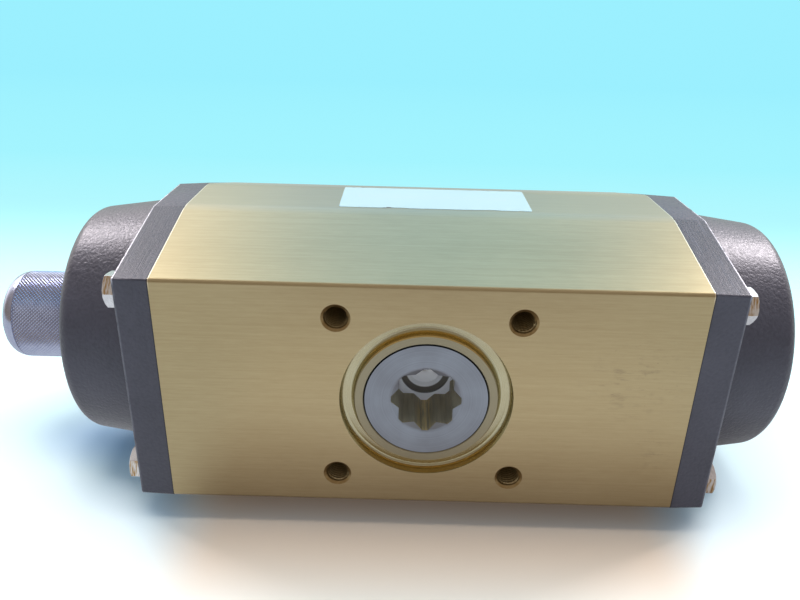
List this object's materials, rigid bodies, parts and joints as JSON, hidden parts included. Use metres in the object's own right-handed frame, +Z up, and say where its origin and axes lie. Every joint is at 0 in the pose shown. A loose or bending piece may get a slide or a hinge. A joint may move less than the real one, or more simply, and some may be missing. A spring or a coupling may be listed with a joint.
{
  "type": "pneumatic valve actuator",
  "caption": "Quarter-turn pneumatic valve actuator: brushed gold body, drum-shaped spring caps, star drive socket in the valve face and a knurled travel-stop knob on one end.",
  "frame": {"origin": "middle of the valve mounting face, on the pinion's axis", "axes": "+X along the cylinder, away from the knob; -Y out of the valve mounting face; +Z up as the actuator lies on its side"},
  "size_m": [0.357, 0.166, 0.1262],
  "materials": {
    "gold_anodised": "lengthwise brushed, gold anodised",
    "black_coated": "black-grey coated casting, fine orange peel",
    "stainless": "bright rolled stainless",
    "plated_steel": "turned, nickel plated, satin",
    "cast_aluminium": "die cast, machined faces",
    "rubber": "nitrile rubber",
    "bearing_plastic": "acetal",
    "spring_steel": "coated spring steel",
    "brass": "turned brass",
    "knob_anodised": "dark blue-grey anodised, diamond knurl",
    "label_film": "white film label"
  },
  "bodies": {
    "housing": {"body": "gold_anodised", "end_cap_left": "black_coated", "end_cap_right": "black_coated", "cap_bolts_left": "stainless", "cap_bolts_right": "stainless", "cap_seal_left": "rubber", "cap_seal_right": "rubber", "passage_seal_left": "rubber", "passage_seal_right": "rubber", "thrust_ring_inner": "bearing_plastic", "thrust_washer": "bearing_plastic", "spring_outer_left": "spring_steel", "spring_outer_right": "spring_steel", "spring_inner_left": "spring_steel", "spring_inner_right": "spring_steel", "stop_bush": "brass", "stop_seal": "rubber", "label": "label_film"},
    "pinion": {"pinion": "plated_steel", "bearing_front": "bearing_plastic", "bearing_rear": "bearing_plastic", "pinion_seal_front": "rubber", "pinion_seal_rear": "rubber", "support_washer": "stainless", "snap_ring": "spring_steel"},
    "piston_left": {"piston_left": "cast_aluminium", "piston_seal_left": "rubber", "piston_band_left": "bearing_plastic", "rack_pad_left": "bearing_plastic"},
    "piston_right": {"piston_right": "cast_aluminium", "piston_seal_right": "rubber", "piston_band_right": "bearing_plastic", "rack_pad_right": "bearing_plastic"},
    "stop_foot": {"stop_foot": "plated_steel"},
    "stop_knob": {"stop_knob": "knob_anodised", "stop_screw": "stainless", "knob_screw": "stainless"}
  },
  "joints": [
    {"name": "pinion_turn", "type": "hinge", "parent": "housing", "child": "pinion", "pos_m": [0, 0, 0], "axis": [0, -1, 0], "range_deg": [0, 90], "stiffness_Nm_per_rad": 12, "springref_deg": -45.84},
    {"name": "piston_left_slide", "type": "slide", "parent": "housing", "child": "piston_left", "axis": [-1, 0, 0], "range_m": [0, 0.033], "deforming": ["spring_outer_left", "spring_inner_left"]},
    {"name": "piston_right_slide", "type": "slide", "parent": "housing", "child": "piston_right", "axis": [1, 0, 0], "range_m": [0, 0.033], "deforming": ["spring_outer_right", "spring_inner_right"]},
    {"name": "stop_travel", "type": "slide", "parent": "housing", "child": "stop_foot", "axis": [-1, 0, 0], "range_m": [0, 0.006]},
    {"name": "knob_turn", "type": "hinge", "parent": "stop_foot", "child": "stop_knob", "pos_m": [-0.157, 0.073, 0], "axis": [-1, 0, 0], "range_deg": [0, 1080]}
  ],
  "couplings": [
    {"joint": "piston_left_slide", "follows": "pinion_turn", "m_per_rad": 0.021},
    {"joint": "piston_right_slide", "follows": "pinion_turn", "m_per_rad": 0.021},
    {"joint": "knob_turn", "follows": "stop_travel", "rad_per_m": 3141.5}
  ]
}
